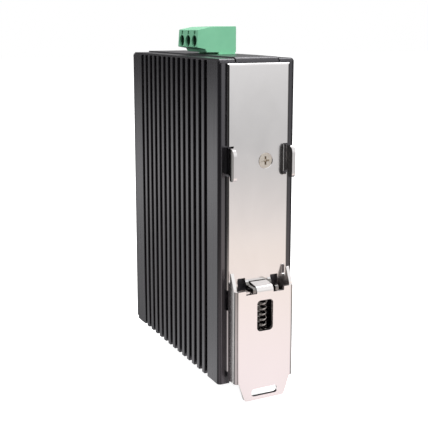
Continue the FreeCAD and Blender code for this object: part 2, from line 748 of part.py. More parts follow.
def din_plate():
    """Stainless bracket plate with hooks, lugs, guides, the spring's seat and a tab at its foot."""
    level = [
        (-BRACKET_HALF, -PLATE),
        (BRACKET_HALF, -PLATE),
        (BRACKET_HALF, 0, BRACKET_EDGE),
        (-BRACKET_HALF, 0, BRACKET_EDGE),
    ]
    upright = [(-PLATE, PLATE_BOTTOM), (0, PLATE_BOTTOM), (0, PLATE_TOP, BRACKET_EDGE), (-PLATE, PLATE_TOP)]
    plate = prism(level, on_xy, (PLATE_BOTTOM, PLATE_TOP))
    plate = plate.common(prism(upright, on_yz, (-BRACKET_HALF, BRACKET_HALF)))
    ledge, guide_hole = guide()
    curl, lug_hole = lug()
    tab_half = 2.3
    tab_z = (SPRING_TAB_TOP - LATCH_SHEET, SPRING_TAB_TOP)
    tab = block((-tab_half, tab_half), (-PLATE / 2, 3.8), tab_z)
    tab_hole = block((-tab_half, tab_half), (-PLATE - 1, 1), (SPRING_TAB_TOP, SPRING_TAB_TOP + 4.2))
    edge_notch = block((BRACKET_HALF - NOTCH_DEEP, BRACKET_HALF + 1), (-PLATE - 1, 1), NOTCH_Z)
    cuts = [tab_hole]
    for cut in (guide_hole, lug_hole, edge_notch, hook_gap()):
        cuts += both_sides(cut)
    cuts.append(screw_shape(1))
    for cut in cuts:
        plate = plate.cut(cut)
    foot_tab = block((-FOOT_TAB_HALF, FOOT_TAB_HALF), (-PLATE - FOOT_TAB_REACH, -PLATE / 2), FOOT_TAB_Z)
    for piece in both_sides(hook()) + both_sides(ledge) + both_sides(curl) + [tab, foot_tab]:
        plate = plate.fuse(piece)
    return plate.removeSplitter()


def screw_shape(extra):
    """Countersunk screw whose flat lies in the plate's face, or with extra length its hole."""
    x, z = BRACKET_SCREW
    inward = ALONG_Y * -1
    head = Part.makeCone(SCREW_HEAD, SCREW, HEAD_DEEP, Vector(x, 0, z), inward)
    shank = rod((x, -HEAD_DEEP, z), inward, SCREW, BRACKET_SCREW_LENGTH + extra)
    return head.fuse(shank).removeSplitter()


def plate_screw():
    """Screw that clamps the bracket to the cover."""
    return screw_shape(0)


def clinch_nut():
    """Six-sided nut pressed onto the cover's rear wall."""
    x, z = BRACKET_SCREW
    nut = prism(hexagon(x, z, NUT), on_xz, (BACK - SHEET - NUT_HIGH, BACK - SHEET))
    return nut.cut(screw_shape(1))


def latch():
    """Folded sheet latch: ears for the rail's lower lip above, pull tongue below."""
    inner = LATCH_HALF - LATCH_SHEET
    floor = LATCH_OUT - LATCH_SHEET
    channel = [
        (-LATCH_HALF, LATCH_CLEAR),
        (-inner, LATCH_CLEAR),
        (-inner, floor, LATCH_FOLD - LATCH_SHEET),
        (inner, floor, LATCH_FOLD - LATCH_SHEET),
        (inner, LATCH_CLEAR),
        (LATCH_HALF, LATCH_CLEAR),
        (LATCH_HALF, LATCH_OUT, LATCH_FOLD),
        (-LATCH_HALF, LATCH_OUT, LATCH_FOLD),
    ]
    body = prism(channel, on_xy, (FLANGE_BOTTOM, LATCH_TOP))
    tongue = [
        (-LATCH_HALF + LATCH_FOLD, FLANGE_BOTTOM + 1),
        (-LATCH_HALF + LATCH_FOLD, FLANGE_BOTTOM),
        (-TONGUE_HALF, TONGUE_BOTTOM, 1.2),
        (TONGUE_HALF, TONGUE_BOTTOM, 1.2),
        (LATCH_HALF - LATCH_FOLD, FLANGE_BOTTOM),
        (LATCH_HALF - LATCH_FOLD, FLANGE_BOTTOM + 1),
    ]
    body = body.fuse(prism(tongue, on_xz, (floor, LATCH_OUT)))
    ear = [
        (LATCH_CLEAR, LATCH_TOP - 1),
        (LATCH_CLEAR, EAR_SEAT),
        (HOOK_IN - 0.2, EAR_SEAT, 0.3),
        (HOOK_IN - 0.2, EAR_TIP, 0.15),
        (HOOK_IN + 0.2, EAR_TIP, 0.15),
        (LATCH_OUT - LATCH_FOLD, LATCH_TOP + 0.6),
        (LATCH_OUT - LATCH_FOLD, LATCH_TOP - 1),
    ]
    foot = block((FOOT_X, LATCH_HALF), (LATCH_CLEAR, LATCH_CLEAR + LATCH_SHEET), FOOT_Z)
    for piece in both_sides(prism(ear, on_yz, (inner, LATCH_HALF))) + both_sides(foot):
        body = body.fuse(piece)
    window = prism(plate_outline((-2.9, 2.9), (-33.0, -22.7), 1.3), on_xz, (floor - 1, LATCH_OUT + 1))
    slot = prism(plate_outline((-4.75, 4.75), (-54.8, -52.3), 1.0), on_xz, (floor - 1, LATCH_OUT + 1))
    notch = block(LATCH_NOTCH_X, (floor - 1, LATCH_OUT + 1), (LATCH_NOTCH_BOTTOM, LATCH_TOP + 1))
    for cut in [window, slot] + both_sides(notch):
        body = body.cut(cut)
    lip = [
        (LIP_END, LIP_HIGH),
        (LIP_END, LIP_HIGH - LATCH_SHEET),
        (floor, LIP_LOW - LATCH_SHEET, LIP_FOLD - LATCH_SHEET),
        (floor, LATCH_NOTCH_BOTTOM - LATCH_SHEET),
        (LATCH_OUT, LATCH_NOTCH_BOTTOM - LATCH_SHEET),
        (LATCH_OUT, LIP_LOW, LIP_FOLD),
    ]
    shoulder = block((-LIP_HALF, LIP_HALF), (floor - 1, LATCH_OUT + 1), (LATCH_NOTCH_BOTTOM, LATCH_TOP + 1))
    body = body.cut(shoulder).fuse(prism(lip, on_yz, (-LIP_HALF, LIP_HALF)))
    return body.removeSplitter()


def latch_spring():
    """Compression spring between the latch's lip and the plate's seat, its wire in short straight runs."""
    bottom = SPRING_TAB_TOP + SPRING_WIRE
    height = LIP_LOW - LATCH_SHEET - SPRING_WIRE - bottom
    runs = SPRING_TURNS * SPRING_RUNS
    sections = []
    for run in range(runs + 1):
        turn = 2 * math.pi * run / SPRING_RUNS
        outward = Vector(math.cos(turn), math.sin(turn), 0)
        middle = Vector(SPRING_X, SPRING_Y, bottom + height * run / runs) + outward * SPRING_RADIUS
        corners = [middle + way * SPRING_WIRE for way in (outward, ALONG_Z, outward * -1, ALONG_Z * -1)]
        sections.append(Part.makePolygon(corners + corners[:1]))
    return Part.makeLoft(sections, True, True)


# ---- assembly

def parts():
    """Every node's name with its solids."""
    nodes = {
        "heat_sink_side": heat_sink_side(),
        "housing_shell": housing_shell(),
        "front_panel": front_panel(),
        "cover_screws": cover_screws(),
        "board_spacers": board_spacers(),
        "circuit_board": circuit_board(),
        "switch_chip": switch_chip(),
        "thermal_pad": thermal_pad(),
        "inductor": inductor(),
        "crystal": crystal(),
        "regulator": regulator(),
        "power_light": power_light(),
        "terminal_header": terminal_header(),
        "header_pins": header_pins(),
        "plug_housing": plug_housing(),
        "plug_cages": plug_cages(),
        "plug_screws": plug_screws(),
        "plug_contacts": plug_contacts(),
        "din_plate": din_plate(),
        "plate_screws": plate_screw(),
        "clinch_nuts": clinch_nut(),
        "latch": latch(),
        "latch_spring": latch_spring(),
    }
    for number, (y, z) in enumerate(PILLAR_PLACES, 1):
        nodes["pillar_%d" % number] = pillar(y, z)
    for number, (y, z) in enumerate(CAPACITORS, 1):
        nodes["capacitor_%d" % number] = capacitor(y, z)
    for port in range(PORTS):
        middle = port_height(port)
        number = port + 1
        nodes["port_shield_%d" % number] = port_shield(middle)
        nodes["port_core_%d" % number] = port_core(middle)
        nodes["port_contacts_%d" % number] = port_contacts(middle)
        nodes["port_lights_%d" % number] = port_lights(middle)
        nodes["magnetics_%d" % number] = magnetics(middle)
    return nodes


def save_all():
    os.makedirs("parts", exist_ok=True)
    for name, shape in parts().items():
        if isinstance(shape, list):
            shape = shape[0] if len(shape) == 1 else Part.makeCompound(shape)
        shape.exportStep("parts/%s.step" % name)


save_all()
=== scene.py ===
import math

import bmesh
import bpy
from mathutils import Matrix, Vector


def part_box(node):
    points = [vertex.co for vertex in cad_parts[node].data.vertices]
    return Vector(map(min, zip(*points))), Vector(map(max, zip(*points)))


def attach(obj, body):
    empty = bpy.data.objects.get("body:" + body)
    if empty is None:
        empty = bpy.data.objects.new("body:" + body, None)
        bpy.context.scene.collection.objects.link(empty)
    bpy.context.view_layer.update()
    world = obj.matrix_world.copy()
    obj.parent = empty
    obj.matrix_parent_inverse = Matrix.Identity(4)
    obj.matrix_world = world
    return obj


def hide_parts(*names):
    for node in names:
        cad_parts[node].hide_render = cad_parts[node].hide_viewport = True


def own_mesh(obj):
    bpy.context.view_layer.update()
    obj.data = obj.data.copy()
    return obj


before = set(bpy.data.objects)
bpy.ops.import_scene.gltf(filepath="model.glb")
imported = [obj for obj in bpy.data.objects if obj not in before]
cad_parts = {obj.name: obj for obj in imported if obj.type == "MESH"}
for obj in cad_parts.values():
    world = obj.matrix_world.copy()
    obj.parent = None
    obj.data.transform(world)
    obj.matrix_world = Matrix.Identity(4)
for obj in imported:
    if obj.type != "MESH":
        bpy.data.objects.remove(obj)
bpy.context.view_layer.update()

# A slim five-port network switch with a rail bracket, dressed over its CAD nodes.
# Metres. +Z is up, -Y is the front with the ports, +Y the rear with the bracket, +X the ribbed side.

MM = 0.001
MICRON = 0.000001

# ---- camera

CAMERA_PLACE = Vector((128.8, 233.3, 63.5)) * MM
CAMERA_HEADING = math.radians(-115.87)
CAMERA_TILT = math.radians(-10.26)
CAMERA_LENS = 71.9
CAMERA_SENSOR = 36.0
CAMERA_SHIFT = -0.08
CAMERA_NEAR = 0.01
CAMERA_FAR = 20.0


def make_camera():
    data = bpy.data.cameras.new("camera")
    data.lens = CAMERA_LENS
    data.sensor_width = CAMERA_SENSOR
    data.shift_y = CAMERA_SHIFT
    data.clip_start = CAMERA_NEAR
    data.clip_end = CAMERA_FAR
    camera = bpy.data.objects.new("camera", data)
    bpy.context.scene.collection.objects.link(camera)
    camera.location = CAMERA_PLACE
    level = math.cos(CAMERA_TILT)
    x = level * math.cos(CAMERA_HEADING)
    y = level * math.sin(CAMERA_HEADING)
    ahead = Vector((x, y, math.sin(CAMERA_TILT)))
    camera.rotation_mode = "QUATERNION"
    camera.rotation_quaternion = ahead.to_track_quat("-Z", "Y")
    bpy.context.scene.camera = camera


make_camera()

# ---- material helpers

# Parts of a noise's range that a shade and a roughness are spread over.
SHADE_SPREAD = (0.3, 0.7)
SHEET_SPREAD = (0.3, 0.75)
ROUGH_SPREAD = (0.25, 0.75)
EDGE_SAMPLES = 6


class Nodes:
    """A material's node tree with short ways to add what these materials share."""

    def __init__(self, name):
        self.material = bpy.data.materials.new(name)
        self.material.use_nodes = True
        self.tree = self.material.node_tree
        self.shader = self.tree.nodes["Principled BSDF"]
        self.place = self.tree.nodes.new("ShaderNodeTexCoord").outputs["Object"]

    def add(self, kind, **settings):
        node = self.tree.nodes.new(kind)
        for key, value in settings.items():
            setattr(node, key, value)
        return node

    def link(self, output, socket):
        self.tree.links.new(output, socket)

    def noise(self, scale, detail=3.0, distortion=0.0):
        """Noise whose grain is 1 / scale metres along each axis."""
        mapping = self.add("ShaderNodeMapping")
        mapping.inputs["Scale"].default_value = scale
        self.link(self.place, mapping.inputs["Vector"])
        texture = self.add("ShaderNodeTexNoise")
        texture.inputs["Scale"].default_value = 1.0
        texture.inputs["Detail"].default_value = detail
        texture.inputs["Distortion"].default_value = distortion
        self.link(mapping.outputs["Vector"], texture.inputs["Vector"])
        return texture.outputs["Fac"]

    def spread(self, value, low, high, low_to=0.0, high_to=1.0):
        """Carries a value from one range to another, held at its ends."""
        ranged = self.add("ShaderNodeMapRange")
        ranged.inputs["From Min"].default_value = low
        ranged.inputs["From Max"].default_value = high
        ranged.inputs["To Min"].default_value = low_to
        ranged.inputs["To Max"].default_value = high_to
        self.link(value, ranged.inputs["Value"])
        return ranged.outputs["Result"]

    def mixed(self, share, first, second):
        """Colour between two, each a socket or a colour."""
        mix = self.add("ShaderNodeMix", data_type="RGBA")
        self.link(share, mix.inputs["Factor"])
        for value, socket in ((first, mix.inputs["A"]), (second, mix.inputs["B"])):
            if isinstance(value, bpy.types.NodeSocket):
                self.link(value, socket)
            else:
                socket.default_value = (*value, 1.0)
        return mix.outputs["Result"]

    def shaded(self, noise, base, deeper, spread=SHADE_SPREAD):
        """Colour that drifts between two shades with a noise."""
        return self.mixed(self.spread(noise, *spread), base, deeper)

    def inside(self, low, high):
        """1 inside a box of the frame, 0 outside."""
        split = self.add("ShaderNodeSeparateXYZ")
        self.link(self.place, split.inputs["Vector"])
        share = None
        for axis, start, end in zip("XYZ", low, high):
            for operation, limit in (("GREATER_THAN", start), ("LESS_THAN", end)):
                test = self.add("ShaderNodeMath", operation=operation)
                self.link(split.outputs[axis], test.inputs[0])
                test.inputs[1].default_value = limit
                if share is None:
                    share = test.outputs["Value"]
                    continue
                both = self.add("ShaderNodeMath", operation="MULTIPLY")
                self.link(share, both.inputs[0])
                self.link(test.outputs["Value"], both.inputs[1])
                share = both.outputs["Value"]
        return share

    def colour(self, value):
        self.link(value, self.shader.inputs["Base Color"])

    def rough(self, noise, low, high):
        """Roughness that drifts between two values with a noise."""
        self.link(self.spread(noise, *ROUGH_SPREAD, low, high), self.shader.inputs["Roughness"])

    def relief(self, layers, edge=0.0):
        """Bumps, each a (noise, depth in metres), over edges rounded by the given radius."""
        normal = None
        if edge:
            bevel = self.add("ShaderNodeBevel", samples=EDGE_SAMPLES)
            bevel.inputs["Radius"].default_value = edge
            normal = bevel.outputs["Normal"]
        for height, depth in layers:
            bump = self.add("ShaderNodeBump")
            bump.inputs["Distance"].default_value = depth
            self.link(height, bump.inputs["Height"])
            if normal is not None:
                self.link(normal, bump.inputs["Normal"])
            normal = bump.outputs["Normal"]
        self.link(normal, self.shader.inputs["Normal"])

    def set(self, **values):
        """Sets sockets that are the same all over the surface."""
        for key, value in values.items():
            self.shader.inputs[key.replace("_", " ")].default_value = value


# ---- materials

# Dark steel colour, a painted dark reflection on the hooks' outer faces and on what is pressed out of the
# plate.
PAINTED_DARK_STEEL = (0.26, 0.25, 0.24)
# Tint of the gloss on the two black finishes.
BLUISH = (0.96, 0.94, 1.0, 1.0)
# Share of a moulding's colour that is left where shade is painted into it.
PAINTED_SHADE_SHARE = 0.12


def anodised():
    """Black anodised extrusion: fine drawn lines up the ribs and a faint cloudiness."""
    m = Nodes("anodised_black")
    drawn = m.noise((2600, 2600, 18), detail=2)
    cloud = m.noise((60, 60, 22), detail=4)
    m.colour(m.shaded(cloud, (0.008, 0.007, 0.009), (0.013, 0.012, 0.014)))
    m.set(IOR=2.1, Specular_Tint=BLUISH)
    m.rough(drawn, 0.2, 0.3)
    m.relief([(drawn, 8 * MICRON)], edge=0.12 * MM)
    return m.material


def powder_coat():
    """Dark grey powder coat with its fine even orange peel."""
    m = Nodes("powder_coat")
    peel = m.noise((1500, 1500, 1500), detail=2)
    speck = m.noise((4200, 4200, 4200), detail=1)
    cloud = m.noise((45, 45, 45), detail=3)
    m.colour(m.shaded(cloud, (0.010, 0.009, 0.011), (0.015, 0.014, 0.016)))
    m.set(IOR=1.9, Specular_Tint=BLUISH)
    m.rough(speck, 0.24, 0.34)
    m.relief([(peel, 20 * MICRON), (speck, 6 * MICRON)], edge=0.1 * MM)
    return m.material


def stainless(name, base, deeper, rough, painted_dark_places=()):
    """Cold rolled stainless sheet: cloudy, with rolling lines and fine scratches, and a dark reflection
    painted into given places.
    """
    m = Nodes(name)
    rolled = m.noise((900, 900, 30), detail=3)
    cloud = m.noise((95, 95, 60), detail=4, distortion=0.6)
    scratch = m.noise((240, 240, 5200), detail=2)
    sheet = m.shaded(cloud, base, deeper, SHEET_SPREAD)
    # Painted dark reflection: inside each given box the steel's colour turns dark.
    for place in painted_dark_places:
        sheet = m.mixed(m.inside(*place), sheet, PAINTED_DARK_STEEL)
    m.colour(sheet)
    m.set(Metallic=1.0)
    m.rough(cloud, *rough)
    m.relief([(rolled, 6 * MICRON), (scratch, 3 * MICRON)])
    return m.material


def painted_dark_boxes():
    """Boxes of the frame with the hooks' outer faces, and with what is pressed out of the plate below,
    where a dark reflection is painted into the steel's colour.
    """
    low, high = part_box("din_plate")
    skin = 0.05 * MM
    behind = 0.4 * MM
    plain_half = 10 * MM
    return (
        ((low.x - skin, behind, plain_half), (low.x + skin, high.y, high.z)),
        ((high.x - skin, behind, plain_half), (high.x + skin, high.y, high.z)),
        ((low.x - skin, behind, low.z), (high.x + skin, high.y + skin, -plain_half)),
    )


def plated(name, base, deeper, rough, edge=0.1 * MM):
    """Plated steel with a lightly mottled coat."""
    m = Nodes(name)
    mottle = m.noise((900, 900, 900), detail=3)
    m.colour(m.shaded(mottle, base, deeper))
    m.set(Metallic=1.0)
    m.rough(mottle, *rough)
    m.relief([(mottle, 8 * MICRON)], edge=edge)
    return m.material


def moulded(name, base, deeper, rough, coat=0.0, painted_shade_box=None):
    """Moulded plastic with a spark-eroded skin and slight flow shading, and painted shade that darkens its
    colour inside a given box.
    """
    m = Nodes(name)
    skin = m.noise((2200, 2200, 2200), detail=2)
    flow = m.noise((120, 120, 160), detail=3, distortion=0.4)
    shade = m.shaded(flow, base, deeper)
    # Painted shade: inside the given box the colour is darkened to a small share of the base.
    if painted_shade_box:
        shade = m.mixed(m.inside(*painted_shade_box), shade, [share * PAINTED_SHADE_SHARE for share in base])
    m.colour(shade)
    m.rough(skin, *rough)
    m.relief([(skin, 10 * MICRON)], edge=0.2 * MM)
    if coat:
        m.set(Coat_Weight=coat, Coat_Roughness=0.15)
    return m.material


def plug_painted_shade_box():
    """Box of the frame inside the plug's outer faces, where its wire and screw ways run and shade is
    painted into the green.
    """
    low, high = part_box("plug_housing")
    wall = 0.5 * MM
    wall_ribbed_side = 0.8 * MM
    wall_top = 1.4 * MM
    ways_deep = 6.9 * MM
    start = Vector((low.x + wall, low.y + wall, high.z - ways_deep))
    return start, high - Vector((wall_ribbed_side, wall, wall_top))


def clear_pipe():
    """Milky clear light pipe."""
    m = Nodes("light_pipe")
    milk = m.noise((700, 700, 700), detail=2)
    m.colour(m.mixed(milk, (0.80, 0.86, 0.83), (0.90, 0.94, 0.92)))
    m.set(Transmission_Weight=0.75, IOR=1.5)
    m.rough(milk, 0.12, 0.3)
    return m.material


ANODISED = anodised()
POWDER = powder_coat()
# The plate's steel has a dark reflection painted onto the hooks' outer faces and onto what is pressed out
# below.
PLATE_STEEL = stainless(
    "plate_steel", (0.84, 0.82, 0.82), (0.90, 0.88, 0.88), (0.10, 0.17), painted_dark_places=painted_dark_boxes()
)
LATCH_STEEL = stainless("latch_steel", (0.94, 0.91, 0.90), (0.97, 0.94, 0.93), (0.18, 0.26))
ZINC = plated("bright_zinc", (0.58, 0.58, 0.57), (0.68, 0.68, 0.66), (0.22, 0.38))
SCREW_ZINC = plated("screw_zinc", (0.70, 0.64, 0.57), (0.84, 0.78, 0.70), (0.18, 0.32), edge=0.05 * MM)
SPRING_STEEL = plated("spring_steel", (0.40, 0.38, 0.36), (0.55, 0.53, 0.50), (0.18, 0.3), edge=0)
TIN = plated("tin_plate", (0.60, 0.60, 0.59), (0.70, 0.70, 0.69), (0.25, 0.42))
GOLD = plated("gold_plate", (0.80, 0.58, 0.25), (0.88, 0.66, 0.32), (0.15, 0.25), edge=0)
CAN = plated("can_aluminium", (0.66, 0.67, 0.69), (0.74, 0.75, 0.77), (0.3, 0.42))
# The plug's green has shade painted into its wire and screw ways.
GREEN = moulded(
    "terminal_green", (0.21, 0.56, 0.345), (0.24, 0.61, 0.38), (0.34, 0.46), painted_shade_box=plug_painted_shade_box()
)
BLACK_NYLON = moulded("jack_black", (0.018, 0.018, 0.018), (0.026, 0.026, 0.026), (0.4, 0.55))
EPOXY = moulded("epoxy_black", (0.020, 0.020, 0.021), (0.03, 0.03, 0.031), (0.5, 0.65))
BOARD = moulded("board_green", (0.008, 0.07, 0.03), (0.014, 0.1, 0.045), (0.25, 0.4), coat=0.4)
PAD = moulded("thermal_pad", (0.22, 0.24, 0.28), (0.27, 0.29, 0.33), (0.7, 0.85))
PIPE = clear_pipe()

# Materials by CAD node, then by the name that numbered nodes share. Every other node is zinc plated.
DRESS = {
    "heat_sink_side": ANODISED,
    "housing_shell": POWDER,
    "front_panel": POWDER,
    "din_plate": PLATE_STEEL,
    "latch": LATCH_STEEL,
    "latch_spring": SPRING_STEEL,
    "plate_screws": SCREW_ZINC,
    "plug_housing": GREEN,
    "terminal_header": GREEN,
    "circuit_board": BOARD,
    "switch_chip": EPOXY,
    "inductor": EPOXY,
    "regulator": EPOXY,
    "thermal_pad": PAD,
    "power_light": PIPE,
    "header_pins": TIN,
    "plug_contacts": TIN,
}
FAMILIES = {
    "port_shield": TIN,
    "port_core": BLACK_NYLON,
    "port_contacts": GOLD,
    "port_lights": PIPE,
    "magnetics": EPOXY,
    "capacitor": CAN,
}


def dress_nodes():
    for name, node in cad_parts.items():
        family = name.rsplit("_", 1)[0]
        material = DRESS.get(name) or FAMILIES.get(family) or ZINC
        node.data.materials.clear()
        node.data.materials.append(material)


dress_nodes()

# ---- pieces


def join_rings(mesh, first, second):
    """Faces between two rings of as many points."""
    for side in range(len(first)):
        following = (side + 1) % len(first)
        mesh.faces.new((first[side], first[following], second[following], second[side]))


def finished(name, mesh, material, sharp=math.pi):
    """Turns a closed bmesh into a piece on the casing, smooth but for edges sharper than an angle."""
    bmesh.ops.recalc_face_normals(mesh, faces=mesh.faces)
    data = bpy.data.meshes.new(name)
    mesh.to_mesh(data)
    mesh.free()
    data.polygons.foreach_set("use_smooth", [True] * len(data.polygons))
    data.set_sharp_from_angle(angle=sharp)
    data.materials.append(material)
    piece = bpy.data.objects.new(name, data)
    bpy.context.scene.collection.objects.link(piece)
    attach(piece, "casing")
    return piece


# ---- latch spring

SPRING_TURNS = 11.5
SPRING_END_TURNS = 1.0
# Rise of a closed end turn, in radii of the wire.
SPRING_END_PITCH = 2.2
WIRE_RADIUS = 0.3 * MM
# Room between the wire and the CAD spring's box.
WIRE_CLEAR = 0.05 * MM
WIRE_SIDES = 14
STEPS_A_TURN = 40


def spring_line(low, high):
    """Middle of the wire: closed flat end turns and open turns between them."""
    middle = (low + high) / 2
    inset = WIRE_RADIUS + WIRE_CLEAR
    radius = (high.x - low.x) / 2 - inset
    bottom = low.z + inset
    rise = high.z - low.z - 2 * inset
    closed = SPRING_END_PITCH * WIRE_RADIUS
    steps = int(SPRING_TURNS * STEPS_A_TURN)
    line = []
    for step in range(steps + 1):
        turn = SPRING_TURNS * step / steps
        if turn < SPRING_END_TURNS:
            height = closed * turn
        elif turn > SPRING_TURNS - SPRING_END_TURNS:
            height = rise - closed * (SPRING_TURNS - turn)
        else:
            share = (turn - SPRING_END_TURNS) / (SPRING_TURNS - 2 * SPRING_END_TURNS)
            height = closed + share * (rise - 2 * closed)
        angle = 2 * math.pi * turn
        x = middle.x + radius * math.cos(angle)
        y = middle.y + radius * math.sin(angle)
        line.append(Vector((x, y, bottom + height)))
    return line


def tube(line, radius, sides):
    """Round wire along a line of points, closed at both ends."""
    mesh = bmesh.new()
    turns = [2 * math.pi * side / sides for side in range(sides)]
    rings = []
    for index, here in enumerate(line):
        before = line[max(index - 1, 0)]
        after = line[min(index + 1, len(line) - 1)]
        along = (after - before).normalized()
        across = along.cross(Vector((0, 0, 1))).normalized()
        up = across.cross(along)
        points = [here + (across * math.cos(turn) + up * math.sin(turn)) * radius for turn in turns]
        rings.append([mesh.verts.new(point) for point in points])
    for first, second in zip(rings, rings[1:]):
        join_rings(mesh, first, second)
    mesh.faces.new(list(reversed(rings[0])))
    mesh.faces.new(rings[-1])
    return mesh


def make_spring():
    """The latch's coil spring, built at one length; on the real switch it shortens as the latch is drawn
    down.
    """
    low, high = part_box("latch_spring")
    wire = tube(spring_line(low, high), WIRE_RADIUS, WIRE_SIDES)
    spring = finished("coil_spring", wire, SPRING_STEEL)
    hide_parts("latch_spring")
    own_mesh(spring)


make_spring()

# ---- screws, each with its driver recess

# Signs of a rectangle's corners, anticlockwise.
SQUARE = ((-1, -1), (1, -1), (1, 1), (-1, 1))
SCREW_SIDES = 56
SCREW_SHARP = math.radians(35)
ROUNDING_STEPS = 6
SHANK = 1.5 * MM
THIN_SHANK = 1.2 * MM
TIP_CHAMFER = 0.2 * MM
# Upright share of a round head's height.
HEAD_WALL = 0.3
# Share of a cross recess's width that is left at its bottom.
CROSS_NARROWING = 0.6
# Reach of a cross recess's arms, half their width, and the radius between them.
CROSS = (1.35 * MM, 0.3 * MM, 0.2 * MM)
SMALL_CROSS = (1.2 * MM, 0.27 * MM, 0.18 * MM)
PANEL_SCREW_X = 11.1 * MM
PANEL_SCREW_HEIGHTS = (24.9 * MM, -27.9 * MM)


def cross_mouth(reach, half, corner):
    """Outline of a cross recess with rounded inner corners, anticlockwise."""
    quarter = [Vector((reach, -half, 0)), Vector((reach, half, 0))]
    middle = half + corner
    for step in range(ROUNDING_STEPS + 1):
        angle = -math.pi / 2 * (1 + step / ROUNDING_STEPS)
        quarter.append(Vector((middle + corner * math.cos(angle), middle + corner * math.sin(angle), 0)))
    return [Matrix.Rotation(turn * math.pi / 2, 3, "Z") @ point for turn in range(4) for point in quarter]


def slot_mouth(reach, half):
    """Outline of a driver slot, anticlockwise."""
    return [Vector((x * reach, y * half, 0)) for x, y in SQUARE]


def round_head(flat, radius, high):
    """Rings (radius, height) of a low round head, from its flat middle to its rim."""
    rings = []
    for step in range(ROUNDING_STEPS + 1):
        angle = math.pi / 2 * step / ROUNDING_STEPS
        height = high * (HEAD_WALL + (1 - HEAD_WALL) * math.cos(angle))
        rings.append((flat + (radius - flat) * math.sin(angle), height))
    return rings + [(radius, 0.0)]


def shank(length, radius=SHANK):
    """Rings of a shank with its chamfered tip."""
    return [(radius, 0.0), (radius, TIP_CHAMFER - length), (radius - TIP_CHAMFER, -length)]


def ring_of_points(mesh, place, points):
    return [mesh.verts.new(place @ point) for point in points]


def edges_round(mesh, ring):
    edges = []
    for first, second in zip(ring, ring[1:] + ring[:1]):
        edges.append(mesh.edges.get((first, second)) or mesh.edges.new((first, second)))
    return edges


def add_screw(mesh, middle, axis, profile, mouth, deep, narrowing=CROSS_NARROWING):
    """Adds a screw turned round its axis, with a tapering driver recess in its flat top."""
    turned = Vector((0, 0, 1)).rotation_difference(Vector(axis)).to_matrix().to_4x4()
    place = Matrix.Translation(middle) @ turned
    turns = [2 * math.pi * side / SCREW_SIDES for side in range(SCREW_SIDES)]
    rings = []
    for radius, height in profile:
        points = [Vector((radius * math.cos(turn), radius * math.sin(turn), height)) for turn in turns]
        rings.append(ring_of_points(mesh, place, points))
    for first, second in zip(rings, rings[1:]):
        join_rings(mesh, first, second)
    mesh.faces.new(rings[-1])
    top = Vector((0, 0, profile[0][1]))
    floor = top - Vector((0, 0, deep))
    opening = ring_of_points(mesh, place, [top + point for point in mouth])
    bottom = ring_of_points(mesh, place, [floor + point * narrowing for point in mouth])
    join_rings(mesh, opening, bottom)
    mesh.faces.new(bottom)
    around = edges_round(mesh, rings[0]) + edges_round(mesh, opening)
    bmesh.ops.triangle_fill(mesh, edges=around, use_beauty=True)


def make_bracket_screw():
    """Countersunk cross-recess screw, a little below the plate's face."""
    low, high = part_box("plate_screws")
    middle = Vector(((low.x + high.x) / 2, 0, (low.z + high.z) / 2))
    length = -low.y
    sunk = 0.12 * MM
    rim_low = 1.8 * sunk
    cone_deep = 1.15 * MM
    top_radius = 2.3 * MM
    rim_radius = 2.38 * MM
    recess_deep = 1.0 * MM
    cone = [(top_radius, -sunk), (rim_radius, -rim_low), (SHANK, -cone_deep)]
    profile = cone + shank(length)[1:]
    mesh = bmesh.new()
    add_screw(mesh, middle, (0, 1, 0), profile, cross_mouth(*CROSS), recess_deep)
    screw = finished("bracket_screw", mesh, SCREW_ZINC, SCREW_SHARP)
    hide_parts("plate_screws")


def make_cover_screws():
    """The two round-headed screws in the cover's plain side."""
    low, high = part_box("cover_screws")
    radius = 2.7 * MM
    flat = 1.6 * MM
    head_high = 1.1 * MM
    recess_deep = 0.9 * MM
    y = (low.y + high.y) / 2
    profile = round_head(flat, radius, head_high) + shank(high.x - low.x - head_high)
    mesh = bmesh.new()
    for z in (low.z + radius, high.z - radius):
        middle = Vector((low.x + head_high, y, z))
        add_screw(mesh, middle, (-1, 0, 0), profile, cross_mouth(*CROSS), recess_deep)
    screws = finished("cover_screw_heads", mesh, ZINC, SCREW_SHARP)
    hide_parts("cover_screws")


def make_panel_screws():
    """Two low heads that hold the front panel to the heat sink."""
    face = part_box("front_panel")[0].y
    radius = 2.1 * MM
    flat = 1.5 * MM
    head_high = 0.3 * MM
    shank_long = 4.0 * MM
    recess_deep = 0.8 * MM
    profile = round_head(flat, radius, head_high) + shank(shank_long, THIN_SHANK)
    mesh = bmesh.new()
    for z in PANEL_SCREW_HEIGHTS:
        middle = Vector((PANEL_SCREW_X, face, z))
        add_screw(mesh, middle, (0, -1, 0), profile, cross_mouth(*SMALL_CROSS), recess_deep)
    finished("panel_screws", mesh, ZINC, SCREW_SHARP)


def make_clamp_screws():
    """The plug's three slotted clamp screws."""
    low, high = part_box("plug_screws")
    radius = (high.x - low.x) / 2
    head_high = 1.5 * MM
    chamfer = 0.15 * MM
    slot_reach = 1.4 * MM
    slot_half = 0.3 * MM
    slot_deep = 0.9 * MM
    pitch = (high.y - low.y - 2 * radius) / 2
    head = [(radius - chamfer, head_high), (radius, head_high - chamfer), (radius, 0.0)]
    profile = head + shank(high.z - low.z - head_high, THIN_SHANK)
    mouth = slot_mouth(slot_reach, slot_half)
    mesh = bmesh.new()
    for pole in range(3):
        middle = Vector((low.x + radius, low.y + radius + pole * pitch, high.z - head_high))
        add_screw(mesh, middle, (0, 0, 1), profile, mouth, slot_deep, narrowing=1.0)
    screws = finished("clamp_screws", mesh, ZINC, SCREW_SHARP)
    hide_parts("plug_screws")


make_bracket_screw()
make_cover_screws()
make_panel_screws()
make_clamp_screws()

# ---- stage and light

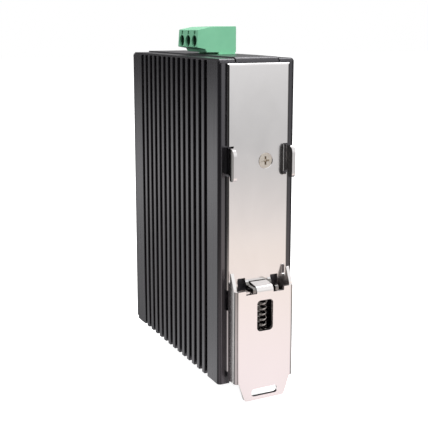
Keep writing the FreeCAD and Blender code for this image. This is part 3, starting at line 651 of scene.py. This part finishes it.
WHITE = (1, 1, 1, 1)
FLOOR_COLOUR = (0.86, 0.86, 0.86, 1)
FLOOR_LEVEL = -62.0 * MM
FLOOR_HALF = 3.0
# What the floor adds for the eye, and what the floor and the world give as soft light.
FLOOR_GLOW = 0.75
FLOOR_SOFT = 0.15
WORLD_SOFT = 0.5

# What gloss shows level with the object: (degrees round from +X towards +Y, brightness).
STUDIO_ROUND = (
    (-180, 0.05), (-150, 0.06), (-128, 0.5), (-119, 0.62), (-85, 0.40), (-70, 0.85), (-60, 1.0),
    (-40, 0.75), (-18, 0.14), (10, 0.05), (65, 0.05), (88, 0.25), (106, 0.95), (122, 0.97),
    (132, 0.8), (148, 0.2), (180, 0.05),
)
STUDIO_ABOVE = 0.95
# Near the horizon the studio is dim in front and pale behind.
HORIZON_FRONT = 0.2
HORIZON_REAR = 0.85
# Where a direction's Y turns from front to rear, and its Z from the horizon to the walls and the ceiling.
TURN_TO_REAR = (-0.2, 0.2)
TURN_TO_WALLS = (0.1, 0.3)
TURN_TO_CEILING = (0.35, 0.8)
# On the floor gloss shows a pale pool close behind, by direction, and the surroundings beyond it.
POOL_ROUND = (
    (-180, 0.3), (-119, 0.6), (-40, 0.8), (0, 0.6), (35, 0.55), (50, 0.45), (62, 0.15),
    (70, 0.45), (80, 0.85), (95, 1.0), (130, 1.0), (155, 0.5), (180, 0.3),
)
POOL_EDGE = (0.08, 0.30)
FLOOR_TO_REAR = (-10 * MM, 20 * MM)
# Brightness of the surroundings: (distance from the middle over FAR_REACH, share).
FAR_REACH = 2.0
FAR_REAR = ((0.0, 1.0), (0.1, 1.0), (0.15, 0.87), (0.25, 0.69), (0.35, 0.63), (0.55, 0.69), (1.0, 0.80))
FAR_FRONT = (
    (0.0, 1.0), (0.03, 0.95), (0.06, 0.70), (0.1, 0.68), (0.17, 0.85), (0.24, 0.98), (0.39, 0.72),
    (0.57, 0.6), (0.76, 0.38), (1.0, 0.20),
)
# Warm light on the floor behind: (distance from the middle over WARM_REACH, colour).
WARM_REACH = 0.6
WARM_TINTS = (
    (0.12, (1.0, 0.90, 0.91)),
    (0.32, (1.0, 0.90, 0.83)),
    (0.5, (1.0, 0.94, 0.91)),
    (1.0, (1.0, 1.0, 1.0)),
)
LAMP_AIM = Vector((0, -0.03, 0))


def feed(tree, value, socket):
    """Links a socket's value, or sets a number."""
    if isinstance(value, bpy.types.NodeSocket):
        tree.links.new(value, socket)
    else:
        socket.default_value = value


def math_node(tree, operation, first, second):
    """One sum on two sockets or numbers."""
    node = tree.nodes.new("ShaderNodeMath")
    node.operation = operation
    feed(tree, first, node.inputs[0])
    feed(tree, second, node.inputs[1])
    return node.outputs[0]


def blended(tree, share, first, second):
    """Number between two, each a socket or a number."""
    node = tree.nodes.new("ShaderNodeMix")
    feed(tree, share, node.inputs["Factor"])
    feed(tree, first, node.inputs["A"])
    feed(tree, second, node.inputs["B"])
    return node.outputs["Result"]


def stepped(tree, value, low, high):
    """Smooth step from 0 to 1."""
    node = tree.nodes.new("ShaderNodeMapRange")
    node.interpolation_type = "SMOOTHSTEP"
    node.inputs["From Min"].default_value = low
    node.inputs["From Max"].default_value = high
    tree.links.new(value, node.inputs["Value"])
    return node.outputs["Result"]


def curve_node(tree, value, points):
    """Smooth curve through points whose places run from 0 to 1."""
    node = tree.nodes.new("ShaderNodeFloatCurve")
    curve = node.mapping.curves[0]
    curve.points[0].location = points[0]
    curve.points[1].location = points[-1]
    for point in points[1:-1]:
        curve.points.new(*point)
    node.mapping.update()
    tree.links.new(value, node.inputs["Value"])
    return node.outputs["Value"]


def colour_ramp(tree, value, stops):
    """Colours by value, from (value, colour) stops."""
    node = tree.nodes.new("ShaderNodeValToRGB")
    elements = node.color_ramp.elements
    for index, (place, colour) in enumerate(stops):
        stop = elements[index] if index < 2 else elements.new(place)
        stop.position = place
        stop.color = (*colour, 1)
    tree.links.new(value, node.inputs["Fac"])
    return node.outputs["Color"]


def split_vector(tree, vector):
    split = tree.nodes.new("ShaderNodeSeparateXYZ")
    tree.links.new(vector, split.inputs["Vector"])
    return split.outputs


def length_of(tree, vector):
    node = tree.nodes.new("ShaderNodeVectorMath")
    node.operation = "LENGTH"
    tree.links.new(vector, node.inputs[0])
    return node.outputs["Value"]


def level_round(tree, parts, levels):
    """Brightness in a level direction, from (degrees, brightness) points."""
    angle = math_node(tree, "ARCTAN2", parts["Y"], parts["X"])
    turn = math_node(tree, "ADD", math_node(tree, "DIVIDE", angle, 2 * math.pi), 0.5)
    return curve_node(tree, turn, [((degrees + 180) / 360, level) for degrees, level in levels])


def floor_for_eye(tree, path):
    """Matt floor that keeps the object's shadow, with a glow that only the camera sees."""
    matt = tree.nodes.new("ShaderNodeBsdfDiffuse")
    matt.inputs["Color"].default_value = FLOOR_COLOUR
    glow = tree.nodes.new("ShaderNodeEmission")
    strength = math_node(tree, "MULTIPLY", path.outputs["Is Camera Ray"], FLOOR_GLOW)
    tree.links.new(strength, glow.inputs["Strength"])
    seen = tree.nodes.new("ShaderNodeAddShader")
    tree.links.new(matt.outputs[0], seen.inputs[0])
    tree.links.new(glow.outputs[0], seen.inputs[1])
    return seen.outputs[0]


def floor_for_object(tree, path):
    """What gloss shows of the floor: pool and surroundings. Soft light gets an even share."""
    place = tree.nodes.new("ShaderNodeTexCoord").outputs["Object"]
    parts = split_vector(tree, place)
    away = length_of(tree, place)
    reach = math_node(tree, "DIVIDE", away, FAR_REACH)
    behind = stepped(tree, parts["Y"], *FLOOR_TO_REAR)
    around = level_round(tree, parts, STUDIO_ROUND)
    front = math_node(tree, "MULTIPLY", around, curve_node(tree, reach, FAR_FRONT))
    beyond = math_node(tree, "MULTIPLY", around, curve_node(tree, reach, FAR_REAR))
    pool = level_round(tree, parts, POOL_ROUND)
    rear = blended(tree, stepped(tree, away, *POOL_EDGE), pool, beyond)
    gloss = blended(tree, behind, front, rear)
    strength = blended(tree, path.outputs["Is Glossy Ray"], FLOOR_SOFT, gloss)
    tint = tree.nodes.new("ShaderNodeMix")
    tint.data_type = "RGBA"
    tint.inputs["A"].default_value = WHITE
    tree.links.new(behind, tint.inputs["Factor"])
    warm = colour_ramp(tree, math_node(tree, "DIVIDE", away, WARM_REACH), WARM_TINTS)
    tree.links.new(warm, tint.inputs["B"])
    mirrored = tree.nodes.new("ShaderNodeEmission")
    tree.links.new(strength, mirrored.inputs["Strength"])
    tree.links.new(tint.outputs["Result"], mirrored.inputs["Color"])
    return mirrored.outputs[0]


def make_floor():
    """Pale floor, white to the eye."""
    mesh = bpy.data.meshes.new("floor")
    corners = [(x * FLOOR_HALF, y * FLOOR_HALF, FLOOR_LEVEL) for x, y in SQUARE]
    mesh.from_pydata(corners, [], [(0, 1, 2, 3)])
    floor = bpy.data.objects.new("floor", mesh)
    bpy.context.scene.collection.objects.link(floor)
    material = bpy.data.materials.new("pale_floor")
    material.use_nodes = True
    tree = material.node_tree
    tree.nodes.remove(tree.nodes["Principled BSDF"])
    path = tree.nodes.new("ShaderNodeLightPath")
    chosen = tree.nodes.new("ShaderNodeMixShader")
    reflected = math_node(tree, "MAXIMUM", path.outputs["Is Glossy Ray"], path.outputs["Is Diffuse Ray"])
    tree.links.new(reflected, chosen.inputs["Fac"])
    tree.links.new(floor_for_eye(tree, path), chosen.inputs[1])
    tree.links.new(floor_for_object(tree, path), chosen.inputs[2])
    tree.links.new(chosen.outputs[0], tree.nodes["Material Output"].inputs["Surface"])
    mesh.materials.append(material)


def make_world():
    """White to the eye; gloss shows bright and dark sides, and a pale ceiling."""
    world = bpy.data.worlds.new("studio")
    bpy.context.scene.world = world
    world.use_nodes = True
    tree = world.node_tree
    background = tree.nodes["Background"]
    background.inputs["Color"].default_value = WHITE
    path = tree.nodes.new("ShaderNodeLightPath")
    place = tree.nodes.new("ShaderNodeTexCoord")
    parts = split_vector(tree, place.outputs["Generated"])
    walls = level_round(tree, parts, STUDIO_ROUND)
    dim = blended(tree, stepped(tree, parts["Y"], *TURN_TO_REAR), HORIZON_FRONT, HORIZON_REAR)
    horizon = blended(tree, stepped(tree, parts["Z"], *TURN_TO_WALLS), dim, 1.0)
    level = math_node(tree, "MULTIPLY", walls, horizon)
    studio = blended(tree, stepped(tree, parts["Z"], *TURN_TO_CEILING), level, STUDIO_ABOVE)
    through = path.outputs["Is Transmission Ray"]
    straight = math_node(tree, "MAXIMUM", path.outputs["Is Camera Ray"], through)
    glossy = math_node(tree, "MULTIPLY", path.outputs["Is Glossy Ray"], studio)
    soft = math_node(tree, "MULTIPLY", path.outputs["Is Diffuse Ray"], WORLD_SOFT)
    strength = math_node(tree, "MAXIMUM", math_node(tree, "MAXIMUM", straight, glossy), soft)
    tree.links.new(strength, background.inputs["Strength"])


def make_lamp(name, place, size, power, in_gloss=False):
    """Square soft lamp aimed at the object."""
    data = bpy.data.lights.new(name, "AREA")
    data.shape = "SQUARE"
    data.size = size
    data.energy = power
    lamp = bpy.data.objects.new(name, data)
    bpy.context.scene.collection.objects.link(lamp)
    lamp.location = place
    lamp.rotation_mode = "QUATERNION"
    lamp.rotation_quaternion = (LAMP_AIM - lamp.location).to_track_quat("-Z", "Y")
    lamp.visible_glossy = in_gloss


make_floor()
make_world()
make_lamp("key", place=(-0.35, 0.95, 0.75), size=0.8, power=12.0)
make_lamp("side", place=(1.1, 0.2, 0.6), size=0.8, power=6.5)
make_lamp("top", place=(-0.3, -0.4, 1.2), size=0.9, power=9.0, in_gloss=True)

bpy.context.scene.view_settings.view_transform = "Standard"
